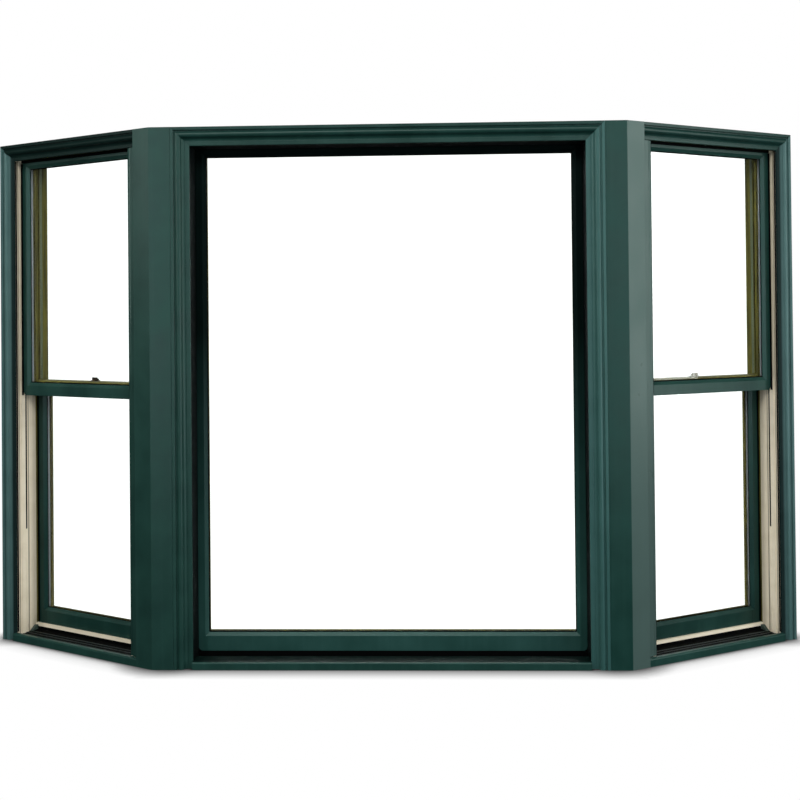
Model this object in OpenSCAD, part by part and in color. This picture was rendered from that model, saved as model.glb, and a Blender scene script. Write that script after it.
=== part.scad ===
// Bay window: a fixed centre window between two double-hung side windows.
// X runs along the front, Y into the building, Z up; the units stand on z = 0.
// Sections are drawn with their front on y = 0 and moved back to the origin at the end.

/* [Overall] */
// Height of the window units
frame_h = 1450; // [1200:10:1700]
// Width of the centre face, from bend to bend
centre_w = 1276; // [1000:10:1600]
// Width of each side face, from the bend to its outer edge
side_w = 597.5; // [500:0.5:760]
// Angle between the centre and each side window, in degrees
bay_angle = 30; // [25:1:40]
// Depth of the frames, from the casing's front to the inside
frame_d = 148; // [145:1:180]

/* [Casing] */
// Face width of the casing round the centre window
centre_casing_w = 50; // [46:1:60]
// Face width of the casing round each side window
side_casing_w = 46; // [44:1:56]
// How far the casing's outer leg wraps back over the frame
casing_d = 32; // [24:1:40]
// Thickness of the casing's outer leg
casing_leg = 18; // [15:1:20]
// How deep the frames' outer edges are cut away to take that leg
leg_rebate = 1; // [0.5:0.5:3]
// Depth of the casing's back behind its inner lip
lip_back = 17; // [16:1:20]
// Width of each leg of the bent corner cover
cover_leg = 58; // [50:1:70]
// Thickness of the corner cover
cover_t = 2; // [1.5:0.5:3]
// Depth of the corner cover's returned edges
cover_return = 20; // [18:1:24]

/* [Sashes] */
// Depth from the front to the centre sash
centre_sash_y = 85; // [75:1:88]
// Thickness of the centre sash
centre_sash_t = 45; // [40:1:46]
// Depth from the front to each upper sash
upper_sash_y = 44; // [40:1:48]
// Depth from the front to each lower sash
lower_sash_y = 95; // [92:1:98]
// Thickness of the side windows' sashes
side_sash_t = 35; // [32:1:36]
// Clearance between a sash and its frame
sash_gap = 0.5; // [0.3:0.1:0.9]
// Width of the centre sash's stiles in view
centre_stile = 28; // [24:1:36]
// Height of the centre sash's top rail in view
centre_top_rail = 19.5; // [16:0.5:26]
// Width of the side windows' inner jamb, beside the corner post
near_board = 33.5; // [30:0.5:40]
// Width of the upper sashes' stiles
upper_stile = 24; // [22:1:34]
// Width of the lower sashes' stiles
lower_stile = 31; // [26:1:40]
// Height of the check rails where the sashes meet
check_rail = 37; // [31:1:44]
// Height of the upper sashes' lower edge
meeting_z = 715; // [640:1:780]
// Depth of the aluminium face of every sash
clad_t = 9; // [8:1:11]
// Radius of the sashes' lower outer corners
sash_round = 11; // [4:1:14]
// Width of the bevel round the glass
bevel_w = 9; // [5:0.5:12]
// Depth of that bevel
bevel_d = 6.5; // [4:0.5:8]
// How far the glass reaches into its groove
glass_bite = 8; // [6:1:9]

/* [Glass] */
// Thickness of one pane of the double glazing
pane_t = 3; // [2.5:0.5:5]
// Thickness of the whole glazed unit
glazing_t = 16; // [12:1:18]

/* [Sill] */
// Height of the sill's nosing
nosing_h = 22; // [18:1:28]
// Height of the lower sashes' bottom edge
sash_foot = 36; // [34:1:40]
// Height of the centre sash's bottom edge
centre_foot = 27.5; // [26:0.5:32]
// Height of a lower sash's bottom rail
bottom_rail = 45; // [38:1:60]
// Height of the centre sash's bottom rail
centre_bottom_rail = 49; // [42:1:62]

/* [Sash lock] */
// Length of the lock's base
lock_l = 33; // [28:1:42]
// Width of the lock's base
lock_w = 14.5; // [12:0.5:18]
// Height of the lock above the rail
lock_h = 11; // [9:0.5:14]

/* [Hidden] */

GREEN = "#2f4f49";
DARK_GREEN = "#1c302d";
BEIGE = "#dcd0b6";
PINE = "#b8935c";
GLASS = [0.85, 0.92, 0.90, 0.35];
BRONZE = "#5a4a36";

bend_x = centre_w / 2;
seam_x = bend_x - cover_leg;
centre_lip = seam_x - centre_casing_w;
centre_jamb_out = seam_x - casing_leg;
stop_t = 10;
centre_jamb_in = centre_lip + stop_t;
centre_lip_z = frame_h - centre_casing_w;
jamb_h = frame_h - casing_leg;
interior_stop_d = 12;
stop_chamfer = 4;
groove_y = 104;
groove_w = 3;
groove_d = 6;
seat_gap = 0.3;
centre_seat = centre_foot - seat_gap;
side_seat = sash_foot - seat_gap;
centre_track_end = centre_sash_y + centre_sash_t + 1;
inner_stop_w = 8;

liner_t = 10;
side_lip = side_w - side_casing_w;
side_lip_z = frame_h - side_casing_w;
side_jamb_out = side_w - casing_leg;
near_jamb_in = cover_leg;
near_liner = near_jamb_in + near_board;
head_set_back = 4;
head_plane = side_lip_z + head_set_back;
head_gap = 3;
upper_top = head_plane - head_gap;
liner_gap = 8;
liner_end = lower_sash_y - liner_gap;
side_track_end = lower_sash_y + side_sash_t + sash_gap;
check_step = 5.5;
lower_top = meeting_z + check_rail + check_step;
upper_top_rail = 22;
sash_l = near_liner + sash_gap;
sash_r = side_lip - sash_gap;
lower_meeting_lip = 22;

slot_y = 49;
slot_w = 6;
slot_d = 8;
slot_end_z = 316;
trough_z = 10;
trough_rise = 7;
strip_t = 8;
strip_back = lower_sash_y - 2;
strip_front = strip_back - strip_t;
strip_drop = 1;
flange_in = 25;

total_d = side_jamb_out * sin(bay_angle) + frame_d * cos(bay_angle);

eps = 0.01;
far = 2000;

// ---- shared shapes -------------------------------------------------------

// Points of an arc, from angle a0 to a1.
function arc(c, r, a0, a1, n) =
    [for (i = [0:n]) let (a = a0 + (a1 - a0) * i / n) [c[0] + r * cos(a), c[1] + r * sin(a)]];

// Casing section: u runs from the outer edge inwards, v from the front back.
function casing_outline(w) = concat(
    [[0, casing_d], [0, 1], [1, 0], [8, 0], [9, 1], [9, 5], [11, 5]],
    arc([20, 9], 8.6, 205, 325, 14),
    arc([38.4, 2.6], 11, 166, 92, 8),
    [[38.4, 12.4], [w - 1, 12.4], [w, 13.4], [w, lip_back]],
    // the arris in the rebate is eased, so that the leg's back is casing_leg wide
    [[casing_leg + leg_rebate, lip_back], [casing_leg + leg_rebate, casing_d - leg_rebate],
     [casing_leg, casing_d]]
);

// A vertical casing with its outer edge on x = 0 and its inner lip towards +x.
module casing_post(w, h) {
    difference() {
        linear_extrude(height = h) polygon(casing_outline(w));
        // mitre at the head
        translate([0, -eps, h]) rotate([-90, 0, 0]) linear_extrude(height = casing_d + 2 * eps)
            polygon([[-1, -1], [far, -1], [far, far], [w + 1, w + 1], [0, 0], [-1, 0]]);
    }
}

// A horizontal casing with its top edge on z = 0, from x = 0 to x = l.
// mitre_near and mitre_far tell whether the end at x = 0 and at x = l is mitred.
module casing_rail(w, l, mitre_near, mitre_far) {
    difference() {
        rotate([90, 0, 90]) linear_extrude(height = l)
            polygon([for (p = casing_outline(w)) [p[1], -p[0]]]);
        if (mitre_near)
            translate([0, -eps, 0]) rotate([-90, 0, 0]) linear_extrude(height = casing_d + 2 * eps)
                polygon([[0, 0], [w + 1, w + 1], [-1, w + 1], [-1, 0]]);
        if (mitre_far)
            translate([l, -eps, 0]) rotate([-90, 0, 0]) linear_extrude(height = casing_d + 2 * eps)
                polygon([[0, 0], [1, 0], [1, w + 1], [-w - 1, w + 1]]);
    }
}

// A straight bar with section points [y, z], from x0 to x1.
module bar(points, x0, x1) {
    translate([x0, 0, 0]) rotate([90, 0, 90]) linear_extrude(height = x1 - x0) polygon(points);
}

// A box from corner a to corner b.
module block(a, b) {
    translate(a) cube([b[0] - a[0], b[1] - a[1], b[2] - a[2]]);
}

// A frame's head from x0 to x1 and from z0 up, cut away above for the casing's leg.
module head_board(x0, x1, z0) {
    bar([[lip_back, z0], [lip_back, jamb_h - leg_rebate], [casing_d, jamb_h - leg_rebate],
         [casing_d, jamb_h], [frame_d, jamb_h], [frame_d, z0]], x0, x1);
}

// What the casing's leg takes out of a jamb: its top from x0 to x1.
module leg_cut_top(x0, x1) {
    block([x0, 0, jamb_h - leg_rebate], [x1, casing_d, jamb_h + 1]);
}

// What the casing's leg takes out of a jamb: its outer face at x.
module leg_cut_side(x) {
    block([x - leg_rebate, 0, -1], [x + 1, casing_d, jamb_h + 1]);
}

// A bevelled rectangular hole from y0 to y1, wider by flare at the front.
module bevelled_hole(x0, x1, z0, z1, y0, y1, flare) {
    intersection() {
        translate([0, 0, z0 - flare]) linear_extrude(height = z1 - z0 + 2 * flare)
            polygon([[x0 - flare, y0], [x1 + flare, y0], [x1, y1], [x0, y1]]);
        bar([[y0, z0 - flare], [y0, z1 + flare], [y1, z1], [y1, z0]], x0 - flare, x1 + flare);
    }
}

// A plate from y0 to y1 with the outline of the box o, as [x0, x1, z0, z1], and rounded feet.
module sash_plate(o, y0, y1) {
    r = sash_round;
    translate([0, y1, 0]) rotate([90, 0, 0]) linear_extrude(height = y1 - y0) polygon(concat(
        arc([o[0] + r, o[2] + r], r, 180, 270, 8), arc([o[1] - r, o[2] + r], r, 270, 360, 8),
        [[o[1], o[3]], [o[0], o[3]]]
    ));
}

// The aluminium face of a sash: outer box o, daylight opening d, as [x0, x1, z0, z1].
module sash_cladding(o, d, y) {
    difference() {
        sash_plate(o, y, y + clad_t);
        block([d[0], y - eps, d[2]], [d[1], y + clad_t + eps, d[3]]);
        bevelled_hole(d[0], d[1], d[2], d[3], y - eps, y + bevel_d, bevel_w);
    }
}

// The wooden body of a sash, with the glazing groove and the inner bead.
module sash_wood(o, d, y, t) {
    bead_back = 1.5;
    difference() {
        sash_plate(o, y + clad_t, y + t);
        block([d[0] - glass_bite, y + clad_t - eps, d[2] - glass_bite],
              [d[1] + glass_bite, y + clad_t + glazing_t, d[3] + glass_bite]);
        block([d[0] - bead_back, y, d[2] - bead_back], [d[1] + bead_back, y + t + eps, d[3] + bead_back]);
    }
}

// Two panes of glass seated in the groove.
module glazing(d, y) {
    edge = glass_bite - seat_gap;
    for (back = [0, glazing_t - pane_t])
        block([d[0] - edge, y + clad_t + back, d[2] - edge],
              [d[1] + edge, y + clad_t + back + pane_t, d[3] + edge]);
}

// ---- centre window -------------------------------------------------------

centre_outer = [-centre_lip + sash_gap, centre_lip - sash_gap, centre_foot, centre_lip_z - sash_gap];
centre_light = [-centre_lip + centre_stile, centre_lip - centre_stile,
                centre_foot + centre_bottom_rail, centre_lip_z - centre_top_rail];

module centre_casing_head() color(GREEN)
    translate([-seam_x, 0, frame_h]) casing_rail(centre_casing_w, 2 * seam_x, true, true);

module centre_casing_left() color(GREEN)
    translate([-seam_x, 0, 0]) casing_post(centre_casing_w, frame_h);

module centre_casing_right() color(GREEN) mirror([1, 0, 0]) centre_casing_left();

// Sill section behind the nosing, with a trough in front of the sash.
module centre_sill() color(GREEN) {
    nosing_r = 4;
    nosing_drop = 2;
    ramp_end = 43;
    ramp_start_z = nosing_h - 1;
    ramp_end_z = nosing_h + 3;
    bar(concat([[0, 0]], arc([nosing_r, nosing_h - nosing_drop - nosing_r], nosing_r, 180, 90, 6),
               [[lip_back, ramp_start_z], [lip_back, 0]]), -centre_lip, centre_lip);
    bar([[lip_back, 0], [lip_back, ramp_start_z], [ramp_end, ramp_end_z], [ramp_end, trough_z],
         [centre_sash_y, trough_z + 2], [centre_sash_y, 0]], -centre_lip, centre_lip);
    block([-centre_lip, centre_sash_y, 0], [centre_lip, centre_track_end, centre_seat]);
    block([-centre_jamb_in, centre_track_end, 0], [centre_jamb_in, frame_d, centre_seat]);
}

module centre_head_jamb() color(PINE) {
    head_board(-centre_jamb_in, centre_jamb_in, centre_lip_z + stop_t);
    block([-centre_lip, centre_track_end, centre_lip_z - inner_stop_w],
          [centre_lip, centre_track_end + interior_stop_d, centre_lip_z + stop_t]);
}

module centre_left_jamb() color(PINE) mirror([1, 0, 0]) centre_side_jamb();
module centre_right_jamb() color(PINE) centre_side_jamb();
module centre_side_jamb() {
    difference() {
        block([centre_jamb_in, lip_back, 0], [centre_jamb_out, frame_d, jamb_h]);
        leg_cut_top(centre_jamb_in - 1, centre_jamb_out + 1);
        leg_cut_side(centre_jamb_out);
    }
    block([centre_lip, centre_track_end, centre_seat],
          [centre_jamb_in, centre_track_end + interior_stop_d, centre_lip_z + stop_t]);
    block([centre_lip - inner_stop_w, centre_track_end, centre_seat],
          [centre_lip, centre_track_end + interior_stop_d, centre_lip_z - inner_stop_w]);
}

module centre_head_stop() color(DARK_GREEN)
    block([-centre_jamb_in, lip_back, centre_lip_z],
          [centre_jamb_in, centre_track_end, centre_lip_z + stop_t]);

module centre_right_stop() color(DARK_GREEN)
    block([centre_lip, lip_back, 0], [centre_jamb_in, centre_track_end, centre_lip_z]);

module centre_left_stop() mirror([1, 0, 0]) centre_right_stop();

module centre_sash_cladding() color(GREEN) sash_cladding(centre_outer, centre_light, centre_sash_y);
module centre_sash_wood() color(PINE) sash_wood(centre_outer, centre_light, centre_sash_y, centre_sash_t);
module centre_glass() color(GLASS) glazing(centre_light, centre_sash_y);

// ---- corners -------------------------------------------------------------

// Plan point on the right-hand side window, at distance e along it and depth d.
function on_side(e, d) = [
    bend_x + e * cos(bay_angle) - d * sin(bay_angle),
    e * sin(bay_angle) + d * cos(bay_angle)
];

// Plan point where the two faces meet, at depth d.
function at_bend(d) = [bend_x - d * tan(bay_angle / 2), d];

module corner_cover() color(GREEN) {
    linear_extrude(height = frame_h) polygon([
        [seam_x, cover_return], [seam_x, 0], at_bend(0), on_side(cover_leg, 0),
        on_side(cover_leg, cover_return), on_side(cover_leg - cover_t, cover_return),
        on_side(cover_leg - cover_t, cover_t), at_bend(cover_t),
        [seam_x + cover_t, cover_t], [seam_x + cover_t, cover_return]
    ]);
    // flange beside the inner jamb of the side window, rooted in the returned edge
    flange_root = cover_leg - cover_t / 2;
    translate([0, 0, nosing_h]) linear_extrude(height = side_lip_z - nosing_h) polygon([
        on_side(flange_root, lip_back - cover_t), on_side(cover_leg + flange_in, lip_back - cover_t),
        on_side(cover_leg + flange_in, lip_back), on_side(flange_root, lip_back)
    ]);
}

module corner_post() color(PINE)
    linear_extrude(height = jamb_h) polygon([
        [centre_jamb_out, casing_d], [seam_x, casing_d], [seam_x, cover_return], at_bend(cover_return),
        on_side(cover_leg, cover_return), on_side(cover_leg, frame_d), at_bend(frame_d),
        [centre_jamb_out, frame_d]
    ]);

// ---- side windows, drawn along +x from the bend --------------------------

upper_outer = [sash_l, sash_r, meeting_z, upper_top];
upper_light = [sash_l + upper_stile, sash_r - upper_stile,
               meeting_z + check_rail, upper_top - upper_top_rail];
lower_outer = [sash_l, sash_r, sash_foot, lower_top];
lower_light = [sash_l + lower_stile, sash_r - lower_stile, sash_foot + bottom_rail, lower_top - check_rail];

module side_casing_head() color(GREEN)
    translate([cover_leg, 0, frame_h]) casing_rail(side_casing_w, side_w - cover_leg, false, true);

module side_casing_jamb() color(GREEN)
    translate([side_w, 0, 0]) mirror([1, 0, 0]) casing_post(side_casing_w, frame_h);

module side_sill() color(GREEN) {
    nosing_r = 5;
    bar(concat([[0, 0]], arc([nosing_r, nosing_h - nosing_r], nosing_r, 180, 90, 6),
               arc([lip_back - nosing_r, nosing_h - nosing_r], nosing_r, 90, 0, 6), [[lip_back, 0]]),
        cover_leg, side_lip);
    bar([[lip_back, 0], [lip_back, trough_z], [strip_front, trough_z + trough_rise],
         [strip_back, trough_z + trough_rise], [strip_back, side_seat],
         [frame_d, side_seat], [frame_d, 0]], near_liner - liner_t, side_lip + liner_t);
}

module side_sill_strip() color(BEIGE)
    block([near_liner, strip_front, trough_z + trough_rise], [side_lip, strip_back, sash_foot - strip_drop]);

module side_head_jamb() color(PINE) {
    head_board(near_liner - liner_t, side_lip + liner_t, head_plane);
    block([near_liner, side_track_end, head_plane - stop_t],
          [side_lip, side_track_end + interior_stop_d, head_plane]);
}

// Jamb section: a board with the inner track and its stop, mirrored for the near side.
module jamb_section(inner, outer) {
    s = outer > inner ? 1 : -1;
    polygon([
        [inner + s * liner_t, lip_back], [outer, lip_back], [outer, frame_d], [inner + s * liner_t, frame_d],
        [inner + s * liner_t, side_track_end + interior_stop_d],
        [inner, side_track_end + interior_stop_d - stop_chamfer],
        [inner, groove_y + groove_w], [inner + s * groove_d, groove_y + groove_w],
        [inner + s * groove_d, groove_y], [inner, groove_y],
        [inner, liner_end], [inner + s * liner_t, liner_end]
    ]);
}

module side_outer_jamb() color(PINE) difference() {
    side_jamb(side_lip, side_jamb_out);
    leg_cut_side(side_jamb_out);
}
module side_inner_jamb() color(PINE) side_jamb(near_liner, near_jamb_in);
module side_jamb(inner, outer) {
    difference() {
        linear_extrude(height = jamb_h) jamb_section(inner, outer);
        // housing for the sill and the head
        s = outer > inner ? 1 : -1;
        x0 = min(inner - s * 1, inner + s * liner_t);
        x1 = max(inner - s * 1, inner + s * liner_t);
        block([x0, liner_end - 1, -1], [x1, frame_d + 1, side_seat]);
        block([x0, liner_end - 1, head_plane], [x1, frame_d + 1, jamb_h + 1]);
        leg_cut_top(min(inner, outer) - 1, max(inner, outer) + 1);
    }
}

// Vinyl liner of the outer track, with a slot that a filler closes near the sill.
module side_outer_liner() color(BEIGE) side_liner(side_lip, 1);
module side_inner_liner() color(BEIGE) side_liner(near_liner, -1);
module side_liner(face, s) {
    rib_w = 2;
    rib_d = 1.5;
    rib_y = [slot_y - 16, slot_y + slot_w + 3];
    difference() {
        linear_extrude(height = head_plane) polygon([
            [face, lip_back], [face + s * liner_t, lip_back],
            [face + s * liner_t, liner_end], [face, liner_end]
        ]);
        for (y = rib_y)
            translate([face, y, -1]) linear_extrude(height = far)
                polygon([[-s, 0], [s * rib_d, 0], [s * rib_d, rib_w], [-s, rib_w]]);
        translate([face, slot_y, slot_end_z]) linear_extrude(height = far)
            polygon([[-s, 0], [s * slot_d, 0], [s * slot_d, slot_w], [-s, slot_w]]);
        // sloped foot on the sill
        bar([[lip_back - 1, -1], [lip_back - 1, trough_z], [lip_back, trough_z],
             [liner_end - 2, trough_z + trough_rise], [liner_end - 2, side_seat],
             [liner_end + 1, side_seat], [liner_end + 1, -1]], -1, side_w + 1);
    }
}

module upper_sash_cladding() color(GREEN) sash_cladding(upper_outer, upper_light, upper_sash_y);
module upper_sash_wood() color(PINE) sash_wood(upper_outer, upper_light, upper_sash_y, side_sash_t);
module upper_glass() color(GLASS) glazing(upper_light, upper_sash_y);

module lower_sash_cladding() color(GREEN) difference() {
    sash_cladding(lower_outer, lower_light, lower_sash_y);
    block([0, lower_sash_y - 1, lower_top - lower_meeting_lip],
          [side_w, lower_sash_y + clad_t + 1, lower_top + 1]);
}

// The check rail's lip reaches forward and closes the gap between the sashes.
module lower_sash_wood() color(PINE) {
    sash_wood(lower_outer, lower_light, lower_sash_y, side_sash_t);
    block([sash_l, upper_sash_y + side_sash_t + 0.5, lower_top - lower_meeting_lip],
          [sash_r, lower_sash_y + clad_t, lower_top]);
}
module lower_glass() color(GLASS) glazing(lower_light, lower_sash_y);

module sash_lock() color(BRONZE) {
    lock_x = (near_liner + side_lip) / 2;
    lock_y = lower_sash_y + side_sash_t / 2;
    base_h = 3;
    barrel_d = 12.5;
    lever = [18, 5, 4];
    translate([lock_x, lock_y, lower_top]) {
        linear_extrude(height = base_h) union() {
            square([lock_l - lock_w, lock_w], center = true);
            for (x = [-1, 1]) translate([x * (lock_l - lock_w) / 2, 0]) circle(d = lock_w, $fn = 32);
        }
        cylinder(d = barrel_d, h = lock_h, $fn = 32);
        translate([0, -lever[1] / 2, lock_h - lever[2]]) cube(lever);
    }
}

// ---- placing -------------------------------------------------------------

// The origin is the middle of the footprint's bounding box.
module placed() translate([0, -total_d / 2, 0]) children();
module mirrored() placed() mirror([1, 0, 0]) children();
module on_right() placed() translate([bend_x, 0, 0]) rotate([0, 0, bay_angle]) children();
module on_left() mirror([1, 0, 0]) on_right() children();

placed() centre_casing_head();
placed() centre_casing_left();
placed() centre_casing_right();
placed() centre_sill();
placed() centre_head_jamb();
placed() centre_left_jamb();
placed() centre_right_jamb();
placed() centre_head_stop();
placed() centre_left_stop();
placed() centre_right_stop();
placed() centre_sash_cladding();
placed() centre_sash_wood();
placed() centre_glass();

mirrored() corner_cover();  // left_corner_cover
mirrored() corner_post();  // left_corner_post
placed() corner_cover();  // right_corner_cover
placed() corner_post();  // right_corner_post

on_left() side_casing_head();  // left_casing_head
on_left() side_casing_jamb();  // left_casing_jamb
on_left() side_sill();  // left_sill
on_left() side_sill_strip();  // left_sill_strip
on_left() side_head_jamb();  // left_head_jamb
on_left() side_outer_jamb();  // left_outer_jamb
on_left() side_inner_jamb();  // left_inner_jamb
on_left() side_outer_liner();  // left_outer_liner
on_left() side_inner_liner();  // left_inner_liner
on_left() upper_sash_cladding();  // left_upper_sash_cladding
on_left() upper_sash_wood();  // left_upper_sash_wood
on_left() upper_glass();  // left_upper_glass
on_left() lower_sash_cladding();  // left_lower_sash_cladding
on_left() lower_sash_wood();  // left_lower_sash_wood
on_left() lower_glass();  // left_lower_glass
on_left() sash_lock();  // left_sash_lock

on_right() side_casing_head();  // right_casing_head
on_right() side_casing_jamb();  // right_casing_jamb
on_right() side_sill();  // right_sill
on_right() side_sill_strip();  // right_sill_strip
on_right() side_head_jamb();  // right_head_jamb
on_right() side_outer_jamb();  // right_outer_jamb
on_right() side_inner_jamb();  // right_inner_jamb
on_right() side_outer_liner();  // right_outer_liner
on_right() side_inner_liner();  // right_inner_liner
on_right() upper_sash_cladding();  // right_upper_sash_cladding
on_right() upper_sash_wood();  // right_upper_sash_wood
on_right() upper_glass();  // right_upper_glass
on_right() lower_sash_cladding();  // right_lower_sash_cladding
on_right() lower_sash_wood();  // right_lower_sash_wood
on_right() lower_glass();  // right_lower_glass
on_right() sash_lock();  // right_sash_lock
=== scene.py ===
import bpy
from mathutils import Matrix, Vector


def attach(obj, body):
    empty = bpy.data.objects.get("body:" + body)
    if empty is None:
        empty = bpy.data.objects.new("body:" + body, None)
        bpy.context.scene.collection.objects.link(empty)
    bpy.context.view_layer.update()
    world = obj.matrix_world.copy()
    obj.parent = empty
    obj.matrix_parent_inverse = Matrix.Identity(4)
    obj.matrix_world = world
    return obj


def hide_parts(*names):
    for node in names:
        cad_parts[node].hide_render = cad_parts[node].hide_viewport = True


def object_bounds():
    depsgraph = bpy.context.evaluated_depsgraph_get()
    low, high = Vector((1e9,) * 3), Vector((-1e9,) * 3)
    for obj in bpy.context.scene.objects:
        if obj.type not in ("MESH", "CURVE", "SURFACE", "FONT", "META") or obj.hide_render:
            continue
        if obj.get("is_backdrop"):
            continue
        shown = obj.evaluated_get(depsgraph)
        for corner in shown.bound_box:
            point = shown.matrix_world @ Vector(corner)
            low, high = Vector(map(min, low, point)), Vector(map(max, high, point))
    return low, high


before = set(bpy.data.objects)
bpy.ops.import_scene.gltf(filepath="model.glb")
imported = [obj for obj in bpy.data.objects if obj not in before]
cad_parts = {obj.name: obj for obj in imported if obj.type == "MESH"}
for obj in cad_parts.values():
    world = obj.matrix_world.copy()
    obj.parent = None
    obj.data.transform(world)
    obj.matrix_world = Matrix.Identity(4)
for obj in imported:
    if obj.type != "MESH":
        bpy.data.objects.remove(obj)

"""Looks of a bay window: a fixed centre window between two double-hung side windows.

Lengths are millimetres in the coordinates of a window unit: e runs along the unit, d goes
from its front face into the building and z is up. Plan.place turns them into metres.
"""
import logging
import math
from dataclasses import dataclass, field
from enum import Enum
from typing import Any, Sequence

import bmesh
import bpy
from mathutils import Matrix, Vector

MM = 0.001
BODY = "root"
log = logging.getLogger("bay_window")

Point = tuple[float, float]
Triple = tuple[float, float, float]


class Side(Enum):
    """The three window units, seen from outside."""

    CENTRE = "centre"
    LEFT = "left"
    RIGHT = "right"


class Axis(Enum):
    """The direction in which an outline is drawn out."""

    ALONG = "e"
    DEPTH = "d"
    UP = "z"


class Grain(Enum):
    """How the boards of a wooden node run."""

    UPRIGHT = "upright"
    LEVEL = "level"
    FRAMED = "framed"


# ---- place ---------------------------------------------------------------


@dataclass(frozen=True)
class Plan:
    """Where the three units stand: the bay's plan.

    Args:
        front: y of the front plane, in metres.
        bend: distance from the middle to each bend of the front plane.
        angle: angle between the centre unit and a side unit.
    """

    front: float
    bend: float = 638.0
    angle: float = math.radians(30)

    def place(self, side: Side, e: float, d: float, z: float) -> Vector:
        """Gives the place of a unit's point.

        Args:
            side: the unit.
            e: along the unit, from the middle of the centre or from the bend.
            d: depth behind the unit's front face.
            z: height.

        Returns:
            The point in metres.
        """
        x, y = e, d
        if side is not Side.CENTRE:
            x = self.bend + e * math.cos(self.angle) - d * math.sin(self.angle)
            y = e * math.sin(self.angle) + d * math.cos(self.angle)
        if side is Side.LEFT:
            x = -x
        return Vector((x * MM, y * MM + self.front, z * MM))

    def turn(self, side: Side) -> float:
        """Angle about z from the row frame to the unit's frame."""
        return {Side.CENTRE: 0.0, Side.LEFT: -self.angle, Side.RIGHT: self.angle}[side]


# ---- node helpers --------------------------------------------------------


def linear(hex_colour: str) -> tuple[float, float, float, float]:
    """Turns an sRGB hex colour into linear RGBA.

    Args:
        hex_colour: a colour such as "#2f4f46".

    Returns:
        Red, green, blue and alpha, linear.
    """
    parts = [int(hex_colour[i:i + 2], 16) / 255 for i in (1, 3, 5)]
    parts = [c / 12.92 if c <= 0.04045 else ((c + 0.055) / 1.055) ** 2.4 for c in parts]
    return (*parts, 1.0)


def add(tree: bpy.types.NodeTree, kind: str, inputs: dict | None = None, **settings: Any) -> bpy.types.Node:
    """Adds a node with its settings, values and links.

    Args:
        tree: the tree that gets the node.
        kind: the node's type name.
        inputs: a value or an output socket for each input, by name or number.
        settings: the node's own properties.

    Returns:
        The new node.
    """
    node = tree.nodes.new(kind)
    for name, value in settings.items():
        setattr(node, name, value)
    for key, value in (inputs or {}).items():
        if isinstance(value, bpy.types.NodeSocket):
            tree.links.new(value, node.inputs[key])
        else:
            node.inputs[key].default_value = value
    return node


def new_material(name: str) -> tuple[bpy.types.Material, bpy.types.NodeTree]:
    """Makes an empty node material and gives it with its tree."""
    material = bpy.data.materials.new(name)
    material.use_nodes = True
    material.node_tree.nodes.clear()
    return material, material.node_tree


def unit_millimetres(tree: bpy.types.NodeTree, plan: Plan, side: Side) -> bpy.types.NodeSocket:
    """Gives Object coordinates in a unit's own millimetres.

    Args:
        tree: the material's tree.
        plan: where the units stand.
        side: the unit whose frame is meant.

    Returns:
        A vector socket: x along the unit, y its depth, z up.
    """
    coordinates = add(tree, "ShaderNodeTexCoord")
    corner = plan.place(side, 0, 0, 0)
    mapping = add(tree, "ShaderNodeMapping", {
        "Vector": coordinates.outputs["Object"], "Location": corner,
        "Rotation": (0, 0, plan.turn(side)), "Scale": (MM, MM, MM),
    }, vector_type="TEXTURE")
    return mapping.outputs["Vector"]


# ---- finishes ------------------------------------------------------------


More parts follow.
